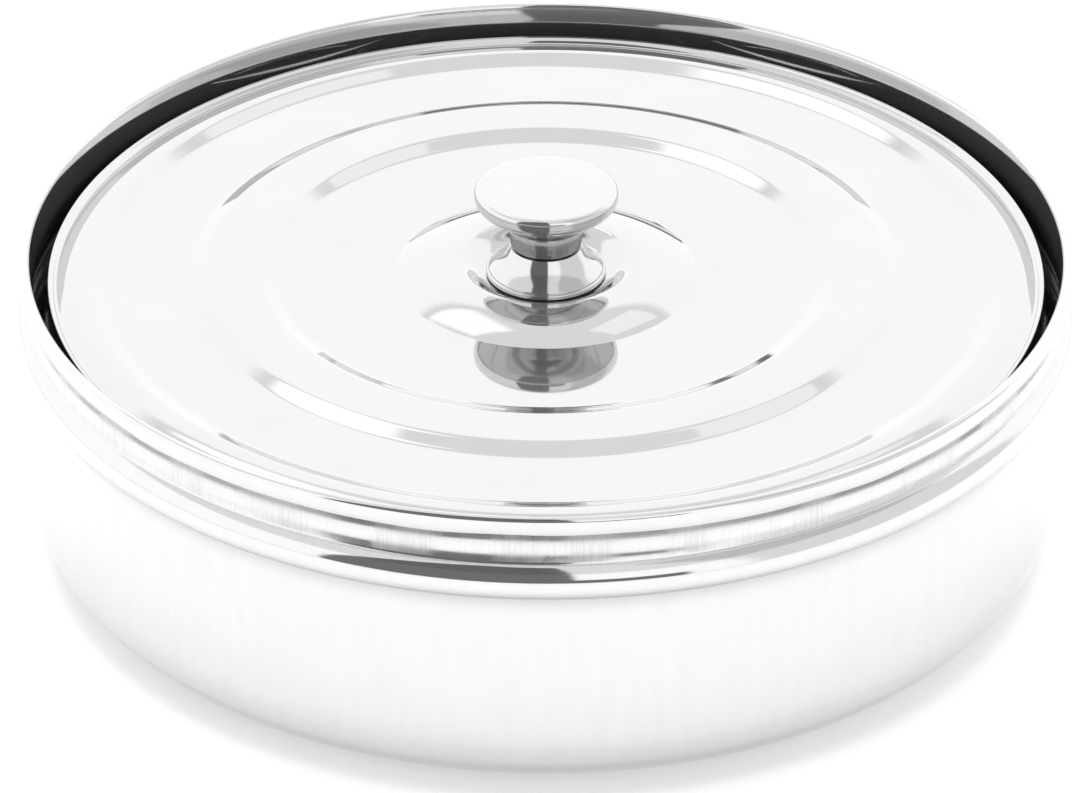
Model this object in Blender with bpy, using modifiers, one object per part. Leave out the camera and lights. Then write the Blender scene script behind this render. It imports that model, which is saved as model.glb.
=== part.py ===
"""Round stainless steel spice box (masala dabba): a deep box with a folded rim, a bead and a
rounded bottom corner, a pressed lid that lies inside the neck on the rims of seven cups, a
turned knob screwed to the lid, and a small spoon that leans in the middle cup.

Metres, +Z up. The origin is the middle of the underside, on the surface that the box stands on.
"""

import math

import bmesh
import bpy
from mathutils import Matrix, Vector

# The gap that touching pieces keep, and the gap round the screw.
FIT_GAP = 0.0003

# Box, measured outside.
RIM_RADIUS = 0.1000
BOX_HEIGHT = 0.0608
BOX_SHEET = 0.0007
HEM_WIDTH = 0.0018
HEM_HEIGHT = 0.0036
NECK_HEIGHT = 0.0098
BEAD_HEIGHT = 0.0070
BEAD_BULGE = 0.0021
WALL_INSET = 0.0002
CORNER_RADIUS = 0.0139

# Lid, in radial widths from its edge inwards and in depths below the top of the rim.
LID_SHEET = 0.0008
LID_EDGE_GAP = 0.0032
LIP_DEPTH = 0.0054
LIP_WIDTH = 0.0014
LIP_HEIGHT = 0.0013
LAND_WIDTH = 0.0064
LAND_DEPTH = 0.0053
RING_SLOPE_WIDTH = 0.0034
CHANNEL_WIDTH = 0.0154
CHANNEL_DEPTH = 0.0066
RAISED_RING_WIDTH = 0.0102
RAISED_RING_DEPTH = 0.0053
FIELD_DEPTH = 0.0067
FIELD_DISH = 0.0004

# The domed ring in the middle of the lid, and the flat inside it that the knob stands on.
BOSS_RADIUS = 0.0289
BOSS_HEIGHT = 0.0026
BOSS_RISE_WIDTH = 0.0050
HUB_ROOM = 0.00055

# Knob.
BASE_RADIUS = 0.01145
BASE_FOOT_HEIGHT = 0.0008
BASE_LEDGE = 0.00055
BASE_TOP_RADIUS = 0.0069
BASE_WAIST = 0.0004
BASE_HEIGHT = 0.0058
NECK_RADIUS = 0.0068
NECK_TOP_RADIUS = 0.0071
GRIP_NECK_HEIGHT = 0.0044
CAP_RADIUS = 0.0137
CAP_HEIGHT = 0.0080
CAP_LIP_RADIUS = 0.0081
CAP_LIP_HEIGHT = 0.0005
CAP_BELLY = 0.0009
CAP_SIDE = 0.0008
CAP_CROWN_HEIGHT = 0.0005
CAP_EDGE = 0.0011

# Screw and washer under the lid.
SCREW_RADIUS = 0.0019
SCREW_HEAD_RADIUS = 0.0036
SCREW_HEAD_HEIGHT = 0.0020
SCREW_ENGAGEMENT = 0.0090
SCREW_SLOT_WIDTH = 0.0009
SCREW_SLOT_DEPTH = 0.0008
SCREW_TIP_ROOM = 0.0008
WASHER_RADIUS = 0.0056
WASHER_SHEET = 0.0008

# Cups: one in the middle and a ring of others round it.
OUTER_CUPS = 6
CUP_SHEET = 0.0006
CUP_GAP = 0.0020
CUP_WALL_GAP = 0.0040
CUP_LIP = 0.0010
CUP_LIP_HEIGHT = 0.0016
CUP_TAPER = 0.0022
CUP_CORNER_STEP = 0.0079

# Spoon.
SPOON_SHEET = 0.0008
SPOON_BOWL_RADIUS = 0.0105
SPOON_BOWL_DEPTH = 0.0040
SPOON_HANDLE_WIDTH = 0.0056
SPOON_WALL_ROOM = 0.0016
SPOON_RIM_ROOM = 0.0080

# How finely round shapes are cut.
LARGE_STEPS = 60
SMALL_STEPS = 28
CORNER_STEPS = 5
BOSS_STEPS = 5
SPOON_STATIONS = 20
SPOON_STRIPS = 4

# Heights and radii that follow from those above.
NECK_RADIUS_OUT = RIM_RADIUS - HEM_WIDTH + BOX_SHEET
NECK_RADIUS_IN = RIM_RADIUS - HEM_WIDTH
WALL_RADIUS_OUT = RIM_RADIUS - WALL_INSET
WALL_RADIUS_IN = WALL_RADIUS_OUT - BOX_SHEET
BEAD_TOP = BOX_HEIGHT - NECK_HEIGHT
BEAD_BOTTOM = BEAD_TOP - BEAD_HEIGHT
LID_RADIUS = NECK_RADIUS_IN - LID_EDGE_GAP
BOSS_FOOT_Z = BOX_HEIGHT - FIELD_DEPTH - FIELD_DISH
HUB_RADIUS = BASE_RADIUS + HUB_ROOM
BOSS_CREST_RADIUS = HUB_RADIUS + BOSS_RISE_WIDTH
BASE_CREASE_RADIUS = BASE_RADIUS - BASE_LEDGE
LID_UNDERSIDE = BOSS_FOOT_Z - LID_SHEET
BASE_BOTTOM = BOSS_FOOT_Z + FIT_GAP
GRIP_BOTTOM = BASE_BOTTOM + BASE_HEIGHT + FIT_GAP
GRIP_TOP = GRIP_BOTTOM + GRIP_NECK_HEIGHT + CAP_HEIGHT
WASHER_TOP = LID_UNDERSIDE - FIT_GAP
SCREW_SEAT = WASHER_TOP - WASHER_SHEET - FIT_GAP
SCREW_TIP = GRIP_BOTTOM + SCREW_ENGAGEMENT
SCREW_HOLE_RADIUS = SCREW_RADIUS + FIT_GAP
CUP_RADIUS = (WALL_RADIUS_IN - CUP_WALL_GAP - CUP_GAP) / 3
CUP_PITCH = 2 * CUP_RADIUS + CUP_GAP
CUP_BOTTOM = BOX_SHEET + FIT_GAP
CUP_TOP = LID_UNDERSIDE - FIT_GAP
CUP_FLOOR = CUP_BOTTOM + CUP_SHEET
CUP_CORNER_RADIUS = CORNER_RADIUS - CUP_CORNER_STEP
CUP_BODY_RADIUS = CUP_RADIUS - CUP_LIP
CUP_FOOT_RADIUS = CUP_BODY_RADIUS - CUP_TAPER - CUP_CORNER_RADIUS


def clear_scene():
    for obj in list(bpy.data.objects):
        bpy.data.objects.remove(obj)


def new_collection(name):
    collection = bpy.data.collections.new(name)
    bpy.context.scene.collection.children.link(collection)
    return collection


def steel(name, colour, roughness):
    """A polished steel of this colour."""
    material = bpy.data.materials.new(name)
    material.use_nodes = True
    shader = material.node_tree.nodes["Principled BSDF"]
    shader.inputs["Base Color"].default_value = (*colour, 1)
    shader.inputs["Metallic"].default_value = 1
    shader.inputs["Roughness"].default_value = roughness
    return material


def arc(centre, radius, start, end, steps):
    """Points on a circle round centre, from the start angle to the end angle in degrees."""
    angles = [math.radians(start + (end - start) * step / steps) for step in range(steps + 1)]
    return [
        (centre[0] + radius * math.cos(angle), centre[1] + radius * math.sin(angle))
        for angle in angles
    ]


def oval_arc(centre, radii, start, end, steps):
    """Like arc, with one radius across and another upwards."""
    return [
        (centre[0] + radii[0] * x, centre[1] + radii[1] * y)
        for x, y in arc((0, 0), 1, start, end, steps)
    ]


def bow(start, end, bulge, steps):
    """Points between start and end along a circle that stands out to their left by bulge."""
    start, end = Vector(start), Vector(end)
    along = end - start
    side = Vector((-along.y, along.x)).normalized()
    radius = (along.length**2 / 4 + bulge**2) / (2 * bulge)
    middle = (start + end) / 2 + side * (bulge - radius)
    half_angle = math.asin(along.length / 2 / radius)
    points = []
    for step in range(1, steps):
        angle = half_angle * (2 * step / steps - 1)
        across = along.normalized() * math.sin(angle) + side * math.cos(angle)
        points.append(tuple(middle + across * radius))
    return points


def add_turn(obj, steps):
    """Sweeps the object's outline once round its own Z axis."""
    screw = obj.modifiers.new("Turn", "SCREW")
    screw.axis = "Z"
    screw.angle = math.tau
    screw.steps = steps
    screw.render_steps = steps
    screw.use_merge_vertices = True
    screw.merge_threshold = 0.00001
    screw.use_smooth_shade = True


def turned(name, profile, collection, material, steps, place=(0, 0, 0), ring=False):
    """Turns a profile of (radius, height) points round Z at place. A ring's profile is a loop."""
    mesh = bpy.data.meshes.new(name)
    points = [(radius, 0, height - place[2]) for radius, height in profile]
    edges = [(index, index + 1) for index in range(len(points) - 1)]
    if ring:
        edges.append((len(points) - 1, 0))
    mesh.from_pydata(points, edges, [])
    obj = bpy.data.objects.new(name, mesh)
    collection.objects.link(obj)
    obj.location = place
    add_turn(obj, steps)
    mesh.materials.append(material)
    return obj


def add_container(collection, material):
    """One drawn shell: floor, rounded corner, wall, bead, neck and a rim folded outwards."""
    corner = (WALL_RADIUS_OUT - CORNER_RADIUS, CORNER_RADIUS)
    hem_round = HEM_WIDTH / 2
    hem_centre = (NECK_RADIUS_IN + hem_round, BOX_HEIGHT - hem_round)
    inside = [
        (0, BOX_SHEET),
        *arc(corner, CORNER_RADIUS - BOX_SHEET, -90, 0, CORNER_STEPS),
        (WALL_RADIUS_IN, BEAD_BOTTOM),
        *reversed(
            bow((NECK_RADIUS_IN, BEAD_TOP), (WALL_RADIUS_IN, BEAD_BOTTOM), BEAD_BULGE, CORNER_STEPS)
        ),
        (NECK_RADIUS_IN, BEAD_TOP),
    ]
    rim = arc(hem_centre, hem_round, 180, 0, CORNER_STEPS)
    outside = [
        (RIM_RADIUS, BOX_HEIGHT - HEM_HEIGHT),
        (NECK_RADIUS_OUT, BOX_HEIGHT - HEM_HEIGHT),
        (NECK_RADIUS_OUT, BEAD_TOP),
        *bow((NECK_RADIUS_OUT, BEAD_TOP), (WALL_RADIUS_OUT, BEAD_BOTTOM), BEAD_BULGE, CORNER_STEPS),
        (WALL_RADIUS_OUT, BEAD_BOTTOM),
        *arc(corner, CORNER_RADIUS, 0, -90, CORNER_STEPS),
        (0, 0),
    ]
    return turned("container", inside + rim + outside, collection, material, LARGE_STEPS)


def lid_face():
    """The lid's upper face from its middle hole to its edge, as (radius, height) points."""
    lip_foot = LID_RADIUS - LIP_WIDTH
    ring_a = lip_foot - LAND_WIDTH
    channel = ring_a - RING_SLOPE_WIDTH
    ring_b = channel - CHANNEL_WIDTH
    raised = ring_b - RING_SLOPE_WIDTH
    ring_c = raised - RAISED_RING_WIDTH
    field = ring_c - RING_SLOPE_WIDTH
    land_slope = (lip_foot + ring_a) / 2
    depths = [
        (field, FIELD_DEPTH),
        (ring_c, RAISED_RING_DEPTH),
        (raised, RAISED_RING_DEPTH),
        (ring_b, CHANNEL_DEPTH),
        (channel, CHANNEL_DEPTH),
        (ring_a, LAND_DEPTH),
        (land_slope, LAND_DEPTH),
        (lip_foot, LIP_DEPTH + LIP_HEIGHT),
        (LID_RADIUS, LIP_DEPTH),
    ]
    hub = [(SCREW_HOLE_RADIUS, BOSS_FOOT_Z), (HUB_RADIUS, BOSS_FOOT_Z)]
    boss = []
    for step in range(1, BOSS_STEPS):
        part = step / BOSS_STEPS
        radius = HUB_RADIUS + part * (BOSS_CREST_RADIUS - HUB_RADIUS)
        boss.append((radius, BOSS_FOOT_Z + BOSS_HEIGHT * part**2 * (3 - 2 * part)))
    for step in range(BOSS_STEPS + 1):
        part = step / BOSS_STEPS
        radius = BOSS_CREST_RADIUS + part * (BOSS_RADIUS - BOSS_CREST_RADIUS)
        boss.append((radius, BOSS_FOOT_Z + BOSS_HEIGHT * (1 - part**2)))
    return hub + boss + [(radius, BOX_HEIGHT - depth) for radius, depth in depths]


def add_lid(collection, material):
    face = lid_face()
    underside = [(radius, height - LID_SHEET) for radius, height in reversed(face)]
    place = (0, 0, LID_UNDERSIDE)
    return turned("lid_plate", face + underside, collection, material, LARGE_STEPS, place, True)


def add_knob(collection, material):
    """The waisted base that stands on the lid, and the grip with its neck and round cap."""
    base_top = BASE_BOTTOM + BASE_HEIGHT
    crease = BASE_BOTTOM + BASE_FOOT_HEIGHT
    flare = ((BASE_TOP_RADIUS, base_top), (BASE_CREASE_RADIUS, crease))
    base = [
        (SCREW_HOLE_RADIUS, base_top),
        flare[0],
        *bow(*flare, -BASE_WAIST, CORNER_STEPS),
        flare[1],
        (BASE_RADIUS, crease),
        (BASE_RADIUS, BASE_BOTTOM),
        (SCREW_HOLE_RADIUS, BASE_BOTTOM),
    ]
    place = (0, 0, BASE_BOTTOM)
    turned("knob_base", base, collection, material, SMALL_STEPS, place, True)

    widest = GRIP_TOP - CAP_CROWN_HEIGHT - CAP_EDGE
    neck_top = GRIP_BOTTOM + GRIP_NECK_HEIGHT
    belly = ((CAP_RADIUS, widest - CAP_SIDE), (CAP_LIP_RADIUS, neck_top + CAP_LIP_HEIGHT))
    hole_top = SCREW_TIP + SCREW_TIP_ROOM
    grip = [
        (0, GRIP_TOP),
        (CAP_RADIUS / 2, GRIP_TOP - CAP_CROWN_HEIGHT / 4),
        *arc((CAP_RADIUS - CAP_EDGE, widest), CAP_EDGE, 90, 0, 3),
        belly[0],
        *bow(*belly, CAP_BELLY, CORNER_STEPS),
        belly[1],
        (NECK_TOP_RADIUS, neck_top),
        (NECK_RADIUS, GRIP_BOTTOM),
        (SCREW_HOLE_RADIUS, GRIP_BOTTOM),
        (SCREW_HOLE_RADIUS, hole_top),
        (0, hole_top),
    ]
    turned("knob_grip", grip, collection, material, SMALL_STEPS, (0, 0, GRIP_BOTTOM))


def add_screw(collection, cutters, material):
    """The washer and the slotted screw that hold the knob from under the lid."""
    washer = [
        (SCREW_HOLE_RADIUS, WASHER_TOP),
        (WASHER_RADIUS, WASHER_TOP),
        (WASHER_RADIUS, WASHER_TOP - WASHER_SHEET),
        (SCREW_HOLE_RADIUS, WASHER_TOP - WASHER_SHEET),
    ]
    place = (0, 0, WASHER_TOP)
    turned("knob_washer", washer, collection, material, SMALL_STEPS, place, True)

    head_bottom = SCREW_SEAT - SCREW_HEAD_HEIGHT
    head_round = SCREW_HEAD_HEIGHT / 2
    head_centre = (SCREW_HEAD_RADIUS - head_round, head_bottom + head_round)
    screw = [
        (0, SCREW_TIP),
        (SCREW_RADIUS, SCREW_TIP),
        (SCREW_RADIUS, SCREW_SEAT),
        (SCREW_HEAD_RADIUS, SCREW_SEAT),
        *arc(head_centre, head_round, 0, -90, 3),
        (0, head_bottom),
    ]
    place = (0, 0, SCREW_SEAT)
    obj = turned("knob_screw", screw, collection, material, SMALL_STEPS, place)

    slot = bpy.data.meshes.new("slot_cutter")
    shape = bmesh.new()
    size = (4 * SCREW_HEAD_RADIUS, SCREW_SLOT_WIDTH, 2 * SCREW_SLOT_DEPTH)
    bmesh.ops.create_cube(shape, size=1, matrix=Matrix.Diagonal((*size, 1)))
    shape.to_mesh(slot)
    shape.free()
    cutter = bpy.data.objects.new("slot_cutter", slot)
    cutters.objects.link(cutter)
    cutter.location = (0, 0, head_bottom)
    cutter.hide_render = True
    cutter.display_type = "WIRE"
    cut = obj.modifiers.new("Slot", "BOOLEAN")
    cut.operation = "DIFFERENCE"
    cut.object = cutter


def cup_profile():
    """A deep cup with a rounded foot, walls that widen upwards and a rolled lip."""
    body_low = CUP_FOOT_RADIUS + CUP_CORNER_RADIUS
    corner = (CUP_FOOT_RADIUS, CUP_BOTTOM + CUP_CORNER_RADIUS)
    inside_top = CUP_BODY_RADIUS - CUP_SHEET
    lip_round = CUP_LIP_HEIGHT / 2
    inside = [
        (0, CUP_FLOOR),
        *arc(corner, CUP_CORNER_RADIUS - CUP_SHEET, -90, 0, 3),
        (inside_top, CUP_TOP - lip_round),
    ]
    lip_width = CUP_RADIUS - inside_top
    lip_centre = (inside_top + lip_width / 2, CUP_TOP - lip_round)
    lip = oval_arc(lip_centre, (lip_width / 2, lip_round), 180, -90, CORNER_STEPS)[1:]
    outside = [
        (CUP_BODY_RADIUS, CUP_TOP - CUP_LIP_HEIGHT),
        (body_low, CUP_BOTTOM + CUP_CORNER_RADIUS),
        *arc(corner, CUP_CORNER_RADIUS, 0, -90, 3)[1:],
        (0, CUP_BOTTOM),
    ]
    return inside + lip + outside


def add_cups(collection, material):
    """Every cup stands on the floor of the box, with its origin on its own axis."""
    middle = turned(
        "cup_center", cup_profile(), collection, material, SMALL_STEPS, (0, 0, CUP_BOTTOM)
    )
    for number in range(OUTER_CUPS):
        angle = math.tau * number / OUTER_CUPS
        cup = bpy.data.objects.new(f"cup_{number + 1}", middle.data)
        collection.objects.link(cup)
        cup.location = (CUP_PITCH * math.cos(angle), CUP_PITCH * math.sin(angle), CUP_BOTTOM)
        add_turn(cup, SMALL_STEPS)


def add_spoon(collection, material):
    """A small spoon pressed from one strip, its bowl on the floor of the middle cup.

    It leans across the cup, so its length and its lean follow from the cup.
    """
    reach = CUP_FOOT_RADIUS + CUP_BODY_RADIUS - CUP_SHEET - 2 * SPOON_WALL_ROOM
    rise = CUP_TOP - CUP_FLOOR - SPOON_RIM_ROOM
    length = math.hypot(reach, rise)
    lean = math.atan2(reach, rise)

    mesh = bpy.data.meshes.new("spoon")
    shape = bmesh.new()
    bmesh.ops.create_grid(shape, x_segments=SPOON_STRIPS, y_segments=SPOON_STATIONS, size=1)
    for vert in shape.verts:
        along = (vert.co.y + 1) / 2 * length
        from_middle = along - SPOON_BOWL_RADIUS
        inside = SPOON_BOWL_RADIUS**2 - from_middle**2
        half_width = math.sqrt(max(inside, 0))
        narrowest = SPOON_HANDLE_WIDTH / 2
        across = vert.co.x * max(half_width, narrowest)
        out = math.hypot(across, from_middle) / SPOON_BOWL_RADIUS
        dip = -SPOON_BOWL_DEPTH * max(0, 1 - out**2)
        vert.co = (across, along, dip)
    shape.to_mesh(mesh)
    shape.free()
    mesh.materials.append(material)
    mesh.shade_smooth()
    spoon = bpy.data.objects.new("spoon", mesh)
    collection.objects.link(spoon)
    sheet = spoon.modifiers.new("Sheet", "SOLIDIFY")
    sheet.thickness = SPOON_SHEET
    sheet.offset = 0
    spoon.location = (0, SPOON_WALL_ROOM - CUP_FOOT_RADIUS, CUP_FLOOR + SPOON_SHEET)
    spoon.rotation_euler = (math.pi / 2 - lean, 0, 0)


def main():
    clear_scene()
    parts = new_collection("spice_box")
    cutters = new_collection("cutters")
    box_steel = steel("box_steel", (0.72, 0.72, 0.73), 0.10)
    lid_steel = steel("lid_steel", (0.74, 0.74, 0.75), 0.06)
    knob_steel = steel("knob_steel", (0.66, 0.66, 0.68), 0.08)
    cup_steel = steel("cup_steel", (0.70, 0.70, 0.71), 0.14)
    spoon_steel = steel("spoon_steel", (0.68, 0.68, 0.70), 0.12)
    add_container(parts, box_steel)
    add_lid(parts, lid_steel)
    add_knob(parts, knob_steel)
    add_screw(parts, cutters, knob_steel)
    add_cups(parts, cup_steel)
    add_spoon(parts, spoon_steel)


main()
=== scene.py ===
import math

import bmesh
import bpy
import numpy as np
from mathutils import Matrix, Vector


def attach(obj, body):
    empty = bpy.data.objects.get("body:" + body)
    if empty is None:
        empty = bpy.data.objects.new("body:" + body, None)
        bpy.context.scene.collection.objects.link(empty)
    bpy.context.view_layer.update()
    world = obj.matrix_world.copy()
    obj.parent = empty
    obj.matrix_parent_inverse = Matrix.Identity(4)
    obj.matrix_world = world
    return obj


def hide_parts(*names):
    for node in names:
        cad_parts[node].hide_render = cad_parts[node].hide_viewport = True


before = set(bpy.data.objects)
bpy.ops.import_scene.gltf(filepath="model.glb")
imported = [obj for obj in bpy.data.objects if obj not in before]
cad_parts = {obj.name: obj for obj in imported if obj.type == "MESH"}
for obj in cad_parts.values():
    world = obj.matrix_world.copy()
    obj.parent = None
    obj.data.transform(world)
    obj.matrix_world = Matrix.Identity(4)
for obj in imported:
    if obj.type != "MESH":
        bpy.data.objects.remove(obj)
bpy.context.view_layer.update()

# ---------------------------------------------------------------- sizes, in metres
FIT_GAP = 0.0003
EDGE_ROUND = 0.0003
CLOSE = 0.0001

# Drawn shell.
RIM_RADIUS = 0.1000
BOX_HEIGHT = 0.0608
BOX_SHEET = 0.0007
HEM_WIDTH = 0.0018
HEM_HEIGHT = 0.0036
HEM_WOBBLE = 0.00016
NECK_HEIGHT = 0.0098
BEAD_HEIGHT = 0.0070
BEAD_BULGE = 0.0021
WALL_INSET = 0.0002
CORNER_RADIUS = 0.0139

# Lid: its lip and rings, from the edge inwards.
LID_SHEET = 0.0008
LID_EDGE_GAP = 0.0032
LIP_DEPTH = 0.0054
LIP_WIDTH = 0.0014
LIP_HEIGHT = 0.0013
LIP_FILLET = 0.0006
LAND_WIDTH = 0.0064
LAND_DEPTH = 0.0053
LAND_FILLET = 0.010
RING_SLOPE_WIDTH = 0.0034
RING_FILLET = 0.004
CHANNEL_WIDTH = 0.0154
CHANNEL_DEPTH = 0.0066
RAISED_RING_WIDTH = 0.0102
RAISED_RING_DEPTH = 0.0053
FIELD_DEPTH = 0.0067
FIELD_DISH = 0.0004

# The domed ring in the middle of the lid, and the flat hub inside it.
BOSS_RADIUS = 0.0289
BOSS_HEIGHT = 0.0026
BOSS_RISE_WIDTH = 0.0053
BOSS_FILLET = 0.0004
HUB_ROOM = 0.00025

# Knob: base, neck and cap.
BASE_RADIUS = 0.01145
BASE_FOOT_HEIGHT = 0.0008
BASE_LEDGE = 0.00055
BASE_CREASE_HEIGHT = 0.0003
BASE_CREASE_CUT = 0.00005
BASE_WAIST_RADIUS = 0.0085
BASE_WAIST_DROP = 0.0027
BASE_WAIST_FILLET = 0.012
BASE_TOP_RADIUS = 0.0069
BASE_HEIGHT = 0.0058
NECK_FOOT_RADIUS = 0.0066
NECK_FOOT_HEIGHT = 0.0002
NECK_RADIUS = 0.0068
NECK_TOP_RADIUS = 0.0071
GRIP_NECK_HEIGHT = 0.0044
CAP_RADIUS = 0.0137
CAP_HEIGHT = 0.0080
CAP_DRAFT = 0.0001
CAP_LIP_RADIUS = 0.0081
CAP_LIP_INNER_RADIUS = 0.0074
CAP_LIP_HEIGHT = 0.0005
CAP_LIP_FILLET = 0.0002
CAP_BELLY_DROP = 0.0031
CAP_BELLY_FILLET = 0.0030
CAP_EDGE = 0.0011
CAP_CROWN_RADIUS = 0.0080
CAP_CROWN_HEIGHT = 0.0005
CAP_CROWN_DROP = 0.0001
CAP_CROWN_FILLET = 0.05

# Screw and washer.
SCREW_RADIUS = 0.0019
SCREW_TIP_FILLET = 0.0003
SCREW_HEAD_RADIUS = 0.0036
SCREW_HEAD_HEIGHT = 0.0020
SCREW_HEAD_FILLET = 0.0009
SCREW_ENGAGEMENT = 0.0090
SCREW_SLOT_WIDTH = 0.0009
SCREW_SLOT_DEPTH = 0.0008
SCREW_TIP_ROOM = 0.0008
SLOT_CUTTER_REACH = 0.010
SLOT_CUTTER_ROOM = 0.001
WASHER_RADIUS = 0.0056
WASHER_SHEET = 0.0008
WASHER_FILLET = 0.0002
SHARP_FILLET = 0.0001

# Cups: one in the middle and a ring of others round it.
OUTER_CUPS = 6
CUP_SHEET = 0.0006
CUP_GAP = 0.0020
CUP_WALL_GAP = 0.0040
CUP_LIP = 0.0010
CUP_LIP_HEIGHT = 0.0016
CUP_TAPER = 0.0022
CUP_CORNER_STEP = 0.0079

# Spoon.
SPOON_SHEET = 0.0008
SPOON_BOWL_RADIUS = 0.0105
SPOON_BOWL_DEPTH = 0.0040
SPOON_HANDLE_WIDTH = 0.0056
SPOON_WALL_ROOM = 0.0016
SPOON_RIM_ROOM = 0.0080

# Worked out from the sizes above.
NECK_IN = RIM_RADIUS - HEM_WIDTH
NECK_OUT = NECK_IN + BOX_SHEET
WALL_OUT = RIM_RADIUS - WALL_INSET
WALL_IN = WALL_OUT - BOX_SHEET
HEM_BOTTOM = BOX_HEIGHT - HEM_HEIGHT
BEAD_TOP = BOX_HEIGHT - NECK_HEIGHT
BEAD_BOTTOM = BEAD_TOP - BEAD_HEIGHT
LID_RADIUS = NECK_IN - LID_EDGE_GAP
HUB_Z = BOX_HEIGHT - FIELD_DEPTH - FIELD_DISH
HUB_RADIUS = BASE_RADIUS + HUB_ROOM
CREST_RADIUS = HUB_RADIUS + BOSS_RISE_WIDTH
BASE_CREASE_RADIUS = BASE_RADIUS - BASE_LEDGE
BASE_BOTTOM = HUB_Z + FIT_GAP
BASE_TOP = BASE_BOTTOM + BASE_HEIGHT
GRIP_BOTTOM = BASE_TOP + FIT_GAP
CAP_BOTTOM = GRIP_BOTTOM + GRIP_NECK_HEIGHT
GRIP_TOP = CAP_BOTTOM + CAP_HEIGHT
WASHER_TOP = HUB_Z - LID_SHEET - FIT_GAP
SCREW_SEAT = WASHER_TOP - WASHER_SHEET - FIT_GAP
SCREW_TIP = GRIP_BOTTOM + SCREW_ENGAGEMENT
SCREW_HOLE = SCREW_RADIUS + FIT_GAP
CUP_RADIUS = (WALL_IN - CUP_WALL_GAP - CUP_GAP) / 3
CUP_PITCH = 2 * CUP_RADIUS + CUP_GAP
CUP_BOTTOM = BOX_SHEET + FIT_GAP
CUP_FLOOR = CUP_BOTTOM + CUP_SHEET
CUP_TOP = HUB_Z - LID_SHEET - FIT_GAP
CUP_CORNER = CORNER_RADIUS - CUP_CORNER_STEP
CUP_BODY = CUP_RADIUS - CUP_LIP
CUP_FOOT = CUP_BODY - CUP_TAPER - CUP_CORNER

# How finely the pieces are turned, and the longest stretch of a profile.
BOX_STEPS, KNOB_STEPS, CUP_STEPS, SCREW_STEPS = 360, 128, 96, 64
BOX_STRETCH, LID_STRETCH, CUP_STRETCH = 0.004, 0.003, 0.005
RISE_STEPS, DOME_STEPS = 23, 39
ARC_STEPS, HEM_STEPS, CUP_ARC_STEPS, LIP_STEPS = 24, 16, 12, 19
SPOON_STATIONS, SPOON_STRIPS = 90, 16
HEM_SEED, HEM_ORDERS = 5, (7, 13, 22, 31)

# ---------------------------------------------------------------- looks
METALLIC, SPECULAR = 0.93, 0.3
LID_TONE, LID_ROUGHNESS = 0.62, 0.04
CUP_TONE, CUP_ROUGHNESS = 0.62, 0.12
STREAK_TONES = (0.64, 0.64, 0.645), (0.70, 0.70, 0.702)
SCUFF_TONES = (0.50, 0.50, 0.505), (0.86, 0.86, 0.86)
TURNED_TONES = (0.59, 0.59, 0.595), (0.68, 0.68, 0.68)
# How fine each grain is, by the angle round the axis and by the height.
STREAK_GRAIN, PATCH_GRAIN, SCUFF_GRAIN = (40.0, 60.0), (9.0, 40.0), (190.0, 90.0)
STREAK_RELIEF, SCUFF_ROUGHNESS, SCUFF_EDGE = 0.12, 0.33, 0.0004
LATHE_GRAIN, LATHE_TWIST = 5200.0, 0.4
SMUDGE_GRAIN, KNOB_SMUDGE_GRAIN = 60, 180
FLOOR_TONE, FLOOR_GLOW = 0.68, 0.38

WALL_GLOW = 1.45
CEILING_SHARE, CEILING_START, CEILING_END = 0.72, 42, 46
CAMERA_GLOW = 1.2
GLOOM = 0.89
GREY_SHARE = 0.35
LEFT_LAMP_SHARE, RIGHT_LAMP_SHARE = 0.4, 0.2
# Parts of the surroundings, in degrees: left, right, softness; bottom, top, softness.
DARK_WALL = (-44, 5, 2), (-90, 78, 5)
DARK_CORNER = (5, 27, 3), (-90, 13, 2)
GREY_WALL = (46, 105, 8), (-10, 70, 10)
LEFT_LAMP = (-36, -17, 6), (48, 62, 2)
RIGHT_LAMP = (19, 35, 1), (48, 62, 1)

FLOOR_REACH = 3
LAMP_PLACE, LAMP_SIZE, LAMP_POWER = (0, 0.1, 1.3), 1.2, 14

# The camera looks at the middle of the rim, a little turned. Angles are in degrees.
SENSOR_WIDTH, FOCAL_LENGTH = 36, 183.83333
CAMERA_DISTANCE, CAMERA_TILT = 1.0511, 29.38
CAMERA_PITCH, CAMERA_YAW, CAMERA_ROLL = 1.631, 0.0675, 0.134


# ---------------------------------------------------------------- shapes
def rounded(corners, turn=math.radians(6)):
    """A profile through corners of (radius, height, fillet), each with its own fillet."""
    points = [Vector(corner[:2]) for corner in corners]
    result = [points[0]]
    for index in range(1, len(points) - 1):
        here, fillet = points[index], corners[index][2]
        back, ahead = points[index - 1] - here, points[index + 1] - here
        angle = math.pi - back.angle(ahead)
        reach = fillet * math.tan(angle / 2)
        if reach < 1e-7:
            result.append(here)
            continue
        limit = 0.499 * min(back.length, ahead.length)
        if reach > limit:
            fillet *= limit / reach
            reach = limit
        start, end = here + back.normalized() * reach, here + ahead.normalized() * reach
        bisector = (back.normalized() + ahead.normalized()).normalized()
        centre = here + bisector * (fillet / math.cos(angle / 2))
        steps = max(2, math.ceil(angle / turn))
        first, last = start - centre, end - centre
        sweep = first.angle_signed(last)
        for step in range(steps + 1):
            part = sweep * step / steps
            cos, sin = math.cos(part), math.sin(part)
            turned = Vector((first.x * cos + first.y * sin, first.y * cos - first.x * sin))
            result.append(centre + turned)
    result.append(points[-1])
    return [tuple(point) for point in result]


def arc(centre, radius, start, end, steps):
    angles = [math.radians(start + (end - start) * step / steps) for step in range(steps + 1)]
    return [(centre[0] + radius * math.cos(a), centre[1] + radius * math.sin(a)) for a in angles]


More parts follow.
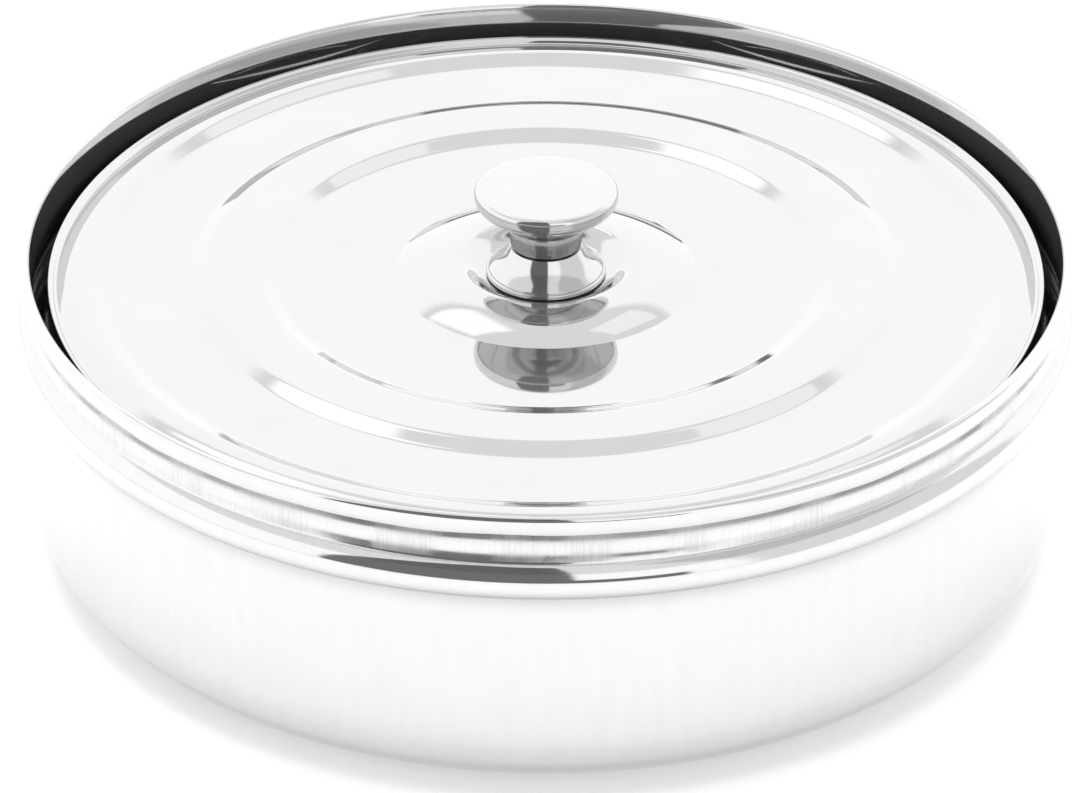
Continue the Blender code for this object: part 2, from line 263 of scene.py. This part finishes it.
def bow(start, end, bulge, steps):
    """Points from start to end along a circle that stands out to their left by bulge."""
    start, end = Vector(start), Vector(end)
    along = end - start
    side = Vector((-along.y, along.x)).normalized()
    radius = (along.length**2 / 4 + bulge**2) / (2 * bulge)
    middle = (start + end) / 2 + side * (bulge - radius)
    half = math.asin(along.length / 2 / radius)
    points = []
    for step in range(steps + 1):
        angle = half * (2 * step / steps - 1)
        across = along.normalized() * math.sin(angle) + side * math.cos(angle)
        points.append(tuple(middle + across * radius))
    return points


def dense(profile, longest):
    """The profile with its long stretches cut so that none is longer than longest."""
    result = [profile[0]]
    for start, end in zip(profile, profile[1:]):
        count = max(1, math.ceil(math.dist(start, end) / longest))
        for step in range(1, count + 1):
            part = step / count
            result.append((start[0] + (end[0] - start[0]) * part, start[1] + (end[1] - start[1]) * part))
    return result


def lathe(name, profile, steps, material, loop=False, place=(0, 0), warp=None):
    """A turned mesh round the axis at place, from (radius, height) points."""
    shape = bmesh.new()
    rings = []
    for radius, height in profile:
        if radius < 1e-6:
            rings.append([shape.verts.new((place[0], place[1], height))])
            continue
        ring = []
        for step in range(steps):
            angle = math.tau * step / steps
            r, z = warp(radius, height, angle) if warp else (radius, height)
            ring.append(shape.verts.new((place[0] + r * math.cos(angle), place[1] + r * math.sin(angle), z)))
        rings.append(ring)
    pairs = list(zip(rings, rings[1:]))
    if loop:
        pairs.append((rings[-1], rings[0]))
    for low, high in pairs:
        for step in range(steps):
            after = (step + 1) % steps
            if len(low) == 1:
                shape.faces.new((low[0], high[step], high[after]))
            elif len(high) == 1:
                shape.faces.new((low[step], high[0], low[after]))
            else:
                shape.faces.new((low[step], high[step], high[after], low[after]))
    bmesh.ops.recalc_face_normals(shape, faces=shape.faces)
    return finish_mesh(name, shape, material)


def finish_mesh(name, shape, material):
    mesh = bpy.data.meshes.new(name)
    shape.to_mesh(mesh)
    shape.free()
    mesh.shade_smooth()
    mesh.materials.append(material)
    obj = bpy.data.objects.new(name, mesh)
    bpy.context.scene.collection.objects.link(obj)
    return obj


def waves(seed, orders, angle):
    """A smooth closed wobble round the axis, about 1 high."""
    numbers = np.random.default_rng(seed)
    total = 0
    for order in orders:
        phase, size = numbers.uniform(0, math.tau), numbers.uniform(0.5, 1)
        total += size * math.sin(order * angle + phase)
    return total / math.sqrt(len(orders))


# ---------------------------------------------------------------- materials
class Graph:
    """Short names for the nodes that the materials and the world are made of."""

    def __init__(self, tree):
        self.tree = tree

    def node(self, kind, **settings):
        node = self.tree.nodes.new("ShaderNode" + kind)
        for key, value in settings.items():
            setattr(node, key, value)
        return node

    def plug(self, socket, value):
        if isinstance(value, bpy.types.NodeSocket):
            self.tree.links.new(value, socket)
        else:
            socket.default_value = value

    def math(self, operation, *values):
        node = self.node("Math", operation=operation)
        for socket, value in zip(node.inputs, values):
            self.plug(socket, value)
        return node.outputs[0]

    def ramp(self, value, low, high, start=0.0, end=1.0):
        """A smooth step from start, at or under low, to end, at or over high."""
        node = self.node("MapRange", interpolation_type="SMOOTHSTEP")
        for socket, number in zip(node.inputs[:5], (value, low, high, start, end)):
            self.plug(socket, number)
        return node.outputs[0]

    def band(self, value, low, high, soft):
        """1 between low and high, falling to 0 over soft on each side."""
        rise = self.ramp(value, low - soft, low)
        fall = self.ramp(value, high, high + soft, 1.0, 0.0)
        return self.math("MULTIPLY", rise, fall)

    def noise(self, vector, scale, detail, rough=0.5):
        node = self.node("TexNoise")
        self.plug(node.inputs["Vector"], vector)
        node.inputs["Scale"].default_value = scale
        node.inputs["Detail"].default_value = detail
        node.inputs["Roughness"].default_value = rough
        return node.outputs[0]

    def combine(self, x, y, z):
        node = self.node("CombineXYZ")
        for socket, value in zip(node.inputs, (x, y, z)):
            self.plug(socket, value)
        return node.outputs[0]

    def mix(self, factor, low, high):
        node = self.node("Mix", data_type="RGBA")
        self.plug(node.inputs[0], factor)
        self.plug(node.inputs[6], (*low, 1) if isinstance(low, tuple) else low)
        self.plug(node.inputs[7], (*high, 1) if isinstance(high, tuple) else high)
        return node.outputs[2]


class Metal(Graph):
    """A steel material: its nodes, its shader, and where a point lies round the upright axis."""

    def __init__(self, name):
        self.material = bpy.data.materials.new(name)
        self.material.use_nodes = True
        super().__init__(self.material.node_tree)
        self.shader = self.tree.nodes["Principled BSDF"]
        self.shader.inputs["Metallic"].default_value = METALLIC
        self.shader.inputs["Specular IOR Level"].default_value = SPECULAR
        self.place = self.node("TexCoord").outputs["Object"]
        split = self.node("SeparateXYZ")
        self.plug(split.inputs[0], self.place)
        x, y, self.z = split.outputs
        self.angle = self.math("ARCTAN2", y, x)
        squares = self.math("ADD", self.math("MULTIPLY", x, x), self.math("MULTIPLY", y, y))
        self.radius = self.math("SQRT", squares)

    def grain(self, around, up, third, detail, rough=0.5):
        """Noise by the angle times around and the height times up, with third as a third place."""
        across = self.math("MULTIPLY", self.angle, around)
        along = self.math("MULTIPLY", self.z, up)
        return self.noise(self.combine(across, along, third), 1.0, detail, rough)

    def finish(self, colour, roughness):
        self.plug(self.shader.inputs["Base Color"], colour)
        self.plug(self.shader.inputs["Roughness"], roughness)
        return self.material

    def bump(self, height, strength, distance):
        node = self.node("Bump")
        node.inputs["Strength"].default_value = strength
        node.inputs["Distance"].default_value = distance
        self.plug(node.inputs["Height"], height)
        self.plug(self.shader.inputs["Normal"], node.outputs[0])


def plain_metal(name, tone, rough):
    """Plain polished steel with faint smudges."""
    metal = Metal(name)
    smudge = metal.noise(metal.place, SMUDGE_GRAIN, 3)
    low, high = (tone * 0.97,) * 3, (tone * 1.03,) * 3
    return metal.finish(metal.mix(smudge, low, high),
                        metal.math("MULTIPLY_ADD", smudge, rough * 0.6, rough * 0.7))


def box_metal():
    """The drawn shell: faint upright streaks, and a scuffed neck where a cover has rubbed."""
    metal = Metal("polished_box")
    outside = metal.ramp(metal.radius, NECK_IN + SCUFF_EDGE / 2, NECK_OUT - SCUFF_EDGE / 2)
    height = metal.band(metal.z, BEAD_TOP + SCUFF_EDGE, HEM_BOTTOM - CLOSE, SCUFF_EDGE)
    neck = metal.math("MULTIPLY", height, outside)
    streak = metal.grain(*STREAK_GRAIN, metal.radius, 4, 0.65)
    patches = metal.ramp(metal.grain(*PATCH_GRAIN, 3.0, 2), 0.42, 0.62)
    fine = metal.grain(*SCUFF_GRAIN, 0.0, 3, 0.7)
    scuff = metal.math("MULTIPLY", neck, metal.math("MULTIPLY_ADD", patches, 0.6, 0.4))
    relief = metal.math("MULTIPLY_ADD", fine, scuff, metal.math("MULTIPLY", streak, STREAK_RELIEF))
    metal.bump(relief, 0.25, 0.00006)
    polish = metal.math("MULTIPLY_ADD", streak, 0.04, 0.04)
    return metal.finish(
        metal.mix(scuff, metal.mix(streak, *STREAK_TONES), metal.mix(fine, *SCUFF_TONES)),
        metal.math("MULTIPLY_ADD", scuff, SCUFF_ROUGHNESS, polish),
    )


def turned_metal():
    """The knob: fine marks of the lathe round its axis."""
    metal = Metal("turned_knob")
    out = metal.math("MULTIPLY", metal.radius, LATHE_GRAIN)
    up = metal.math("MULTIPLY", metal.z, LATHE_GRAIN)
    around = metal.math("MULTIPLY", metal.angle, LATHE_TWIST)
    marks = metal.noise(metal.combine(out, up, around), 1.0, 3, 0.6)
    smudge = metal.noise(metal.place, KNOB_SMUDGE_GRAIN, 3)
    metal.bump(marks, 0.015, 0.00002)
    return metal.finish(metal.mix(marks, *TURNED_TONES),
                        metal.math("MULTIPLY_ADD", smudge, 0.06, 0.06))


# ---------------------------------------------------------------- pieces
def container_profile():
    """The shell from the middle of its floor, up the inside, over the rim and down the outside."""
    corner = (WALL_OUT - CORNER_RADIUS, CORNER_RADIUS)
    inside = [
        (0, BOX_SHEET),
        *arc(corner, CORNER_RADIUS - BOX_SHEET, -90, 0, ARC_STEPS),
        *reversed(bow((NECK_IN, BEAD_TOP), (WALL_IN, BEAD_BOTTOM), BEAD_BULGE, ARC_STEPS)),
    ]
    fold = HEM_WIDTH / 2
    hem = [
        *arc((NECK_IN + fold, BOX_HEIGHT - fold), fold, 180, 0, HEM_STEPS),
        (RIM_RADIUS, HEM_BOTTOM + EDGE_ROUND),
        (RIM_RADIUS - EDGE_ROUND, HEM_BOTTOM),
        (NECK_OUT, HEM_BOTTOM),
    ]
    outside = [
        *bow((NECK_OUT, BEAD_TOP), (WALL_OUT, BEAD_BOTTOM), BEAD_BULGE, ARC_STEPS),
        *arc(corner, CORNER_RADIUS, 0, -90, ARC_STEPS),
        (0, 0),
    ]
    return dense(inside + hem + outside, BOX_STRETCH)


def hem_waves(radius, height, angle):
    """The lower edge of the folded rim isn't quite level."""
    if radius > NECK_OUT - CLOSE and abs(height - HEM_BOTTOM) < EDGE_ROUND + CLOSE:
        height += HEM_WOBBLE * waves(HEM_SEED, HEM_ORDERS, angle)
    return radius, height


def boss_profile():
    """The domed ring from the hub outwards: an S-curve up to its crest, then a parabola down."""
    rise_width, fall_width = CREST_RADIUS - HUB_RADIUS, BOSS_RADIUS - CREST_RADIUS
    rise = [(HUB_RADIUS + part * rise_width, HUB_Z + BOSS_HEIGHT * part**2 * (3 - 2 * part), 0)
            for part in np.linspace(0, 1, RISE_STEPS + 1)[:-1]]
    fall = [(CREST_RADIUS + part * fall_width, HUB_Z + BOSS_HEIGHT * (1 - part**2), 0)
            for part in np.linspace(0, 1, DOME_STEPS + 1)[:-1]]
    return rise + fall


def lid_profile():
    """The pressed sheet of the lid, from its screw hole to its turned-up lip and back below."""
    lip_foot = LID_RADIUS - LIP_WIDTH
    ring_a = lip_foot - LAND_WIDTH
    channel = ring_a - RING_SLOPE_WIDTH
    ring_b = channel - CHANNEL_WIDTH
    raised = ring_b - RING_SLOPE_WIDTH
    ring_c = raised - RAISED_RING_WIDTH
    field = ring_c - RING_SLOPE_WIDTH
    land_slope = (lip_foot + ring_a) / 2
    lip_top = BOX_HEIGHT - LIP_DEPTH
    face = rounded([
        (SCREW_HOLE, HUB_Z, 0),
        *boss_profile(),
        (BOSS_RADIUS, HUB_Z, BOSS_FILLET),
        (field, BOX_HEIGHT - FIELD_DEPTH, RING_FILLET),
        (ring_c, BOX_HEIGHT - RAISED_RING_DEPTH, RING_FILLET),
        (raised, BOX_HEIGHT - RAISED_RING_DEPTH, RING_FILLET),
        (ring_b, BOX_HEIGHT - CHANNEL_DEPTH, RING_FILLET),
        (channel, BOX_HEIGHT - CHANNEL_DEPTH, RING_FILLET),
        (ring_a, BOX_HEIGHT - LAND_DEPTH, RING_FILLET),
        (land_slope, BOX_HEIGHT - LAND_DEPTH, LAND_FILLET),
        (lip_foot, lip_top - LIP_HEIGHT, LIP_FILLET),
        (LID_RADIUS - EDGE_ROUND, lip_top, 0),
    ])
    underside = [(radius, height - LID_SHEET) for radius, height in reversed(face)]
    return dense([*face, (LID_RADIUS, lip_top - EDGE_ROUND), *underside], LID_STRETCH)


def base_profile():
    """The waisted base of the knob, with a crease where its flare meets its foot."""
    foot_top = BASE_BOTTOM + BASE_FOOT_HEIGHT
    return rounded([
        (SCREW_HOLE, BASE_TOP, 0),
        (BASE_TOP_RADIUS, BASE_TOP, SHARP_FILLET),
        (BASE_WAIST_RADIUS, BASE_TOP - BASE_WAIST_DROP, BASE_WAIST_FILLET),
        (BASE_CREASE_RADIUS, foot_top + BASE_CREASE_HEIGHT, 2 * SHARP_FILLET),
        (BASE_CREASE_RADIUS + BASE_CREASE_CUT, foot_top + CLOSE, 0),
        (BASE_CREASE_RADIUS - BASE_CREASE_CUT, foot_top, 0),
        (BASE_RADIUS, foot_top, EDGE_ROUND),
        (BASE_RADIUS, BASE_BOTTOM, SHARP_FILLET),
        (SCREW_HOLE, BASE_BOTTOM, 0),
    ])


def grip_profile():
    """The neck and the round cap, with a blind hole for the screw."""
    hole_top = SCREW_TIP + SCREW_TIP_ROOM
    return rounded([
        (0, GRIP_TOP, 0),
        (CAP_CROWN_RADIUS, GRIP_TOP - CAP_CROWN_DROP, CAP_CROWN_FILLET),
        (CAP_RADIUS - CAP_DRAFT, GRIP_TOP - CAP_CROWN_HEIGHT, CAP_EDGE),
        (CAP_RADIUS + CAP_DRAFT, GRIP_TOP - CAP_BELLY_DROP, CAP_BELLY_FILLET),
        (CAP_LIP_RADIUS, CAP_BOTTOM + CAP_LIP_HEIGHT, EDGE_ROUND),
        (CAP_LIP_INNER_RADIUS, CAP_BOTTOM + CLOSE, CAP_LIP_FILLET),
        (NECK_TOP_RADIUS, CAP_BOTTOM - CLOSE, CAP_LIP_FILLET),
        (NECK_RADIUS, GRIP_BOTTOM + NECK_FOOT_HEIGHT, SHARP_FILLET),
        (NECK_FOOT_RADIUS, GRIP_BOTTOM, 0),
        (SCREW_HOLE, GRIP_BOTTOM, 0),
        (SCREW_HOLE, hole_top, 0),
        (0, hole_top, 0),
    ])


def washer_profile():
    return rounded([
        (SCREW_HOLE, WASHER_TOP, SHARP_FILLET),
        (WASHER_RADIUS, WASHER_TOP, WASHER_FILLET),
        (WASHER_RADIUS, WASHER_TOP - WASHER_SHEET, WASHER_FILLET),
        (SCREW_HOLE, WASHER_TOP - WASHER_SHEET, 0),
    ])


def cup_profile():
    """A cup from the middle of its floor, up the inside, over its rolled lip and down."""
    corner = (CUP_FOOT, CUP_BOTTOM + CUP_CORNER)
    inside_top = CUP_BODY - CUP_SHEET
    half_width, half_height = (CUP_RADIUS - inside_top) / 2, CUP_LIP_HEIGHT / 2
    lip = [(inside_top + half_width * (1 + math.cos(a)), CUP_TOP - half_height + half_height * math.sin(a))
           for a in np.radians(np.linspace(180, -90, LIP_STEPS + 1))]
    return dense([
        (0, CUP_FLOOR),
        *arc(corner, CUP_CORNER - CUP_SHEET, -90, 0, CUP_ARC_STEPS),
        *lip,
        (CUP_BODY, CUP_TOP - CUP_LIP_HEIGHT),
        *arc(corner, CUP_CORNER, 0, -90, CUP_ARC_STEPS),
        (0, CUP_BOTTOM),
    ], CUP_STRETCH)


def spoon_point(across, along, face):
    """A point of the flat spoon: across is -1 to 1, and face is half the sheet, up or down."""
    from_middle = along - SPOON_BOWL_RADIUS
    inside = max(SPOON_BOWL_RADIUS**2 - from_middle**2, 0)
    x = across * max(math.sqrt(inside), SPOON_HANDLE_WIDTH / 2)
    out = (x**2 + from_middle**2) / SPOON_BOWL_RADIUS**2
    dip = -SPOON_BOWL_DEPTH * max(0, 1 - out)
    worn_edge = math.sqrt(1 - 0.75 * abs(across) ** 12)
    return x, along, dip + face * worn_edge


def add_spoon(material):
    """The pressed spoon that leans in the middle cup, with a rounded edge all round."""
    reach = CUP_FOOT + CUP_BODY - CUP_SHEET - 2 * SPOON_WALL_ROOM
    rise = CUP_TOP - CUP_FLOOR - SPOON_RIM_ROOM
    length, lean = math.hypot(reach, rise), math.atan2(reach, rise)
    shape = bmesh.new()
    stations = np.linspace(0, length, SPOON_STATIONS + 1)
    strips = np.linspace(-1, 1, SPOON_STRIPS + 1)
    sheets = [
        [[shape.verts.new(spoon_point(across, along, face)) for across in strips] for along in stations]
        for face in (SPOON_SHEET / 2, -SPOON_SHEET / 2)
    ]
    for sheet in sheets:
        for low, high in zip(sheet, sheet[1:]):
            for i in range(SPOON_STRIPS):
                shape.faces.new((low[i], low[i + 1], high[i + 1], high[i]))
    top, bottom = sheets
    for side in (0, -1):
        for j in range(SPOON_STATIONS):
            shape.faces.new((top[j][side], top[j + 1][side], bottom[j + 1][side], bottom[j][side]))
    for end in (0, -1):
        for i in range(SPOON_STRIPS):
            shape.faces.new((top[end][i], top[end][i + 1], bottom[end][i + 1], bottom[end][i]))
    bmesh.ops.recalc_face_normals(shape, faces=shape.faces)
    place = Matrix.Translation((0, SPOON_WALL_ROOM - CUP_FOOT, CUP_FLOOR + SPOON_SHEET))
    turn = place @ Matrix.Rotation(math.pi / 2 - lean, 4, "X")
    bmesh.ops.transform(shape, matrix=turn, verts=shape.verts)
    return finish_mesh("spoon_pressed", shape, material)


def slot_cutter(bottom, top, material):
    """A bar across the screw's head, as wide as its slot."""
    reach, half = SLOT_CUTTER_REACH, SCREW_SLOT_WIDTH / 2
    outline = [(-reach, -half), (reach, -half), (reach, half), (-reach, half)]
    shape = bmesh.new()
    low, high = ([shape.verts.new((x, y, z)) for x, y in outline] for z in (bottom, top))
    shape.faces.new(low[::-1])
    shape.faces.new(high)
    for i in range(4):
        after = (i + 1) % 4
        shape.faces.new((low[i], low[after], high[after], high[i]))
    return finish_mesh("slot", shape, material)


def add_screw(material):
    """The screw under the lid, its slot cut into the head."""
    head_bottom = SCREW_SEAT - SCREW_HEAD_HEIGHT
    screw = lathe("screw_turned", rounded([
        (0, SCREW_TIP, 0),
        (SCREW_RADIUS, SCREW_TIP, SCREW_TIP_FILLET),
        (SCREW_RADIUS, SCREW_SEAT, 0),
        (SCREW_HEAD_RADIUS, SCREW_SEAT, SHARP_FILLET),
        (SCREW_HEAD_RADIUS, head_bottom, SCREW_HEAD_FILLET),
        (0, head_bottom, 0),
    ]), SCREW_STEPS, material)
    cutter = slot_cutter(head_bottom - SLOT_CUTTER_ROOM, head_bottom + SCREW_SLOT_DEPTH, material)
    cut = screw.modifiers.new("slot", "BOOLEAN")
    cut.object = cutter
    cut.operation = "DIFFERENCE"
    evaluated = screw.evaluated_get(bpy.context.evaluated_depsgraph_get())
    mesh = bpy.data.meshes.new_from_object(evaluated)
    screw.modifiers.clear()
    screw.data = mesh
    bpy.data.objects.remove(cutter)
    return screw


def add_pieces():
    """Each piece stands for one CAD node: (piece, node, body, slot)."""
    box_steel = box_metal()
    lid_steel = plain_metal("polished_lid", LID_TONE, LID_ROUGHNESS)
    knob_steel = turned_metal()
    cup_steel = plain_metal("satin_cup", CUP_TONE, CUP_ROUGHNESS)
    box = lathe("box_shell", container_profile(), BOX_STEPS, box_steel, warp=hem_waves)
    lid = lathe("lid_sheet", lid_profile(), BOX_STEPS, lid_steel, loop=True)
    collar = lathe("knob_collar", base_profile(), KNOB_STEPS, knob_steel, loop=True)
    handle = lathe("knob_handle", grip_profile(), KNOB_STEPS, knob_steel)
    washer = lathe("washer_flat", washer_profile(), CUP_STEPS, knob_steel, loop=True)
    placed = [
        (box, "container", "box", "box_steel"),
        (lid, "lid_plate", "lid", "lid_steel"),
        (collar, "knob_base", "lid", "knob_steel"),
        (handle, "knob_grip", "lid", "knob_steel"),
        (washer, "knob_washer", "lid", "knob_steel"),
        (add_screw(knob_steel), "knob_screw", "lid", "knob_steel"),
        (add_spoon(cup_steel), "spoon", "spoon", "spoon_steel"),
    ]
    spots = {"cup_center": (0, 0)}
    for number in range(OUTER_CUPS):
        angle = math.tau * number / OUTER_CUPS
        spots[f"cup_{number + 1}"] = (CUP_PITCH * math.cos(angle), CUP_PITCH * math.sin(angle))
    for node, spot in spots.items():
        cup = lathe(node + "_drawn", cup_profile(), CUP_STEPS, cup_steel, place=spot)
        placed.append((cup, node, node, "cup_steel"))
    for obj, node, body, slot in placed:
        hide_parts(node)
        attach(obj, body)


# ---------------------------------------------------------------- stage, light, camera
def add_floor():
    shape = bmesh.new()
    bmesh.ops.create_grid(shape, x_segments=8, y_segments=8, size=FLOOR_REACH)
    mesh = bpy.data.meshes.new("floor")
    shape.to_mesh(mesh)
    shape.free()
    floor = bpy.data.objects.new("floor", mesh)
    bpy.context.scene.collection.objects.link(floor)
    material = bpy.data.materials.new("pale_floor")
    material.use_nodes = True
    shader = material.node_tree.nodes["Principled BSDF"]
    shader.inputs["Base Color"].default_value = (FLOOR_TONE, FLOOR_TONE, FLOOR_TONE, 1)
    shader.inputs["Emission Color"].default_value = (1, 1, 1, 1)
    shader.inputs["Emission Strength"].default_value = FLOOR_GLOW
    shader.inputs["Roughness"].default_value = 1
    shader.inputs["Specular IOR Level"].default_value = 0
    mesh.materials.append(material)


def add_world():
    """The studio that the steel reflects: pale walls and ceiling, dark and grey parts, two lamps."""
    world = bpy.data.worlds.new("studio")
    bpy.context.scene.world = world
    world.use_nodes = True
    graph = Graph(world.node_tree)
    split = graph.node("SeparateXYZ")
    graph.plug(split.inputs[0], graph.node("TexCoord").outputs["Generated"])
    x, y, z = split.outputs

    def degrees(radians):
        return graph.math("MULTIPLY", radians, 180 / math.pi)

    front = degrees(graph.math("ARCTAN2", x, graph.math("MULTIPLY", y, -1.0)))
    back = degrees(graph.math("ARCTAN2", x, y))
    elevation = degrees(graph.math("ARCSINE", z))

    def patch(azimuth, sides, heights):
        return graph.math("MULTIPLY", graph.band(azimuth, *sides), graph.band(elevation, *heights))

    grey = graph.math("MULTIPLY", patch(front, *GREY_WALL), GREY_SHARE)
    dark = graph.math("MAXIMUM", patch(front, *DARK_CORNER), grey)
    gloom = graph.math("MAXIMUM", patch(front, *DARK_WALL), dark)
    right_lamp = graph.math("MULTIPLY", patch(back, *RIGHT_LAMP), WALL_GLOW * RIGHT_LAMP_SHARE)
    lamps = graph.math("MULTIPLY_ADD", patch(back, *LEFT_LAMP), WALL_GLOW * LEFT_LAMP_SHARE, right_lamp)
    ceiling = graph.ramp(elevation, CEILING_START, CEILING_END, WALL_GLOW, WALL_GLOW * CEILING_SHARE)
    bright = graph.math("ADD", ceiling, lamps)
    light = graph.math("MULTIPLY", bright, graph.math("MULTIPLY_ADD", gloom, -GLOOM, 1.0))
    camera = graph.node("LightPath").outputs["Is Camera Ray"]
    background = world.node_tree.nodes["Background"]
    background.inputs["Color"].default_value = (1, 1, 1, 1)
    graph.plug(background.inputs["Strength"],
               graph.math("MAXIMUM", light, graph.math("MULTIPLY", camera, CAMERA_GLOW)))


def add_light():
    data = bpy.data.lights.new("overhead", "AREA")
    data.shape = "DISK"
    data.size = LAMP_SIZE
    data.energy = LAMP_POWER
    light = bpy.data.objects.new("overhead", data)
    bpy.context.scene.collection.objects.link(light)
    light.location = LAMP_PLACE
    light.visible_glossy = False
    light.visible_camera = False


def add_camera():
    data = bpy.data.cameras.new("camera")
    data.sensor_width = SENSOR_WIDTH
    data.lens = FOCAL_LENGTH
    data.clip_start = 0.05
    camera = bpy.data.objects.new("camera", data)
    bpy.context.scene.collection.objects.link(camera)
    bpy.context.scene.camera = camera
    tilt = math.radians(CAMERA_TILT)
    back, up = CAMERA_DISTANCE * math.cos(tilt), CAMERA_DISTANCE * math.sin(tilt)
    camera.location = (0, -back, BOX_HEIGHT + up)
    pitch = Matrix.Rotation(math.pi / 2 - tilt - math.radians(CAMERA_PITCH), 4, "X")
    yaw = Matrix.Rotation(math.radians(CAMERA_YAW), 4, "Z")
    roll = Matrix.Rotation(math.radians(CAMERA_ROLL), 4, "Z")
    camera.rotation_euler = (yaw @ pitch @ roll).to_euler()


add_pieces()
add_floor()
add_world()
add_light()
add_camera()
bpy.context.scene.view_settings.view_transform = "Standard"
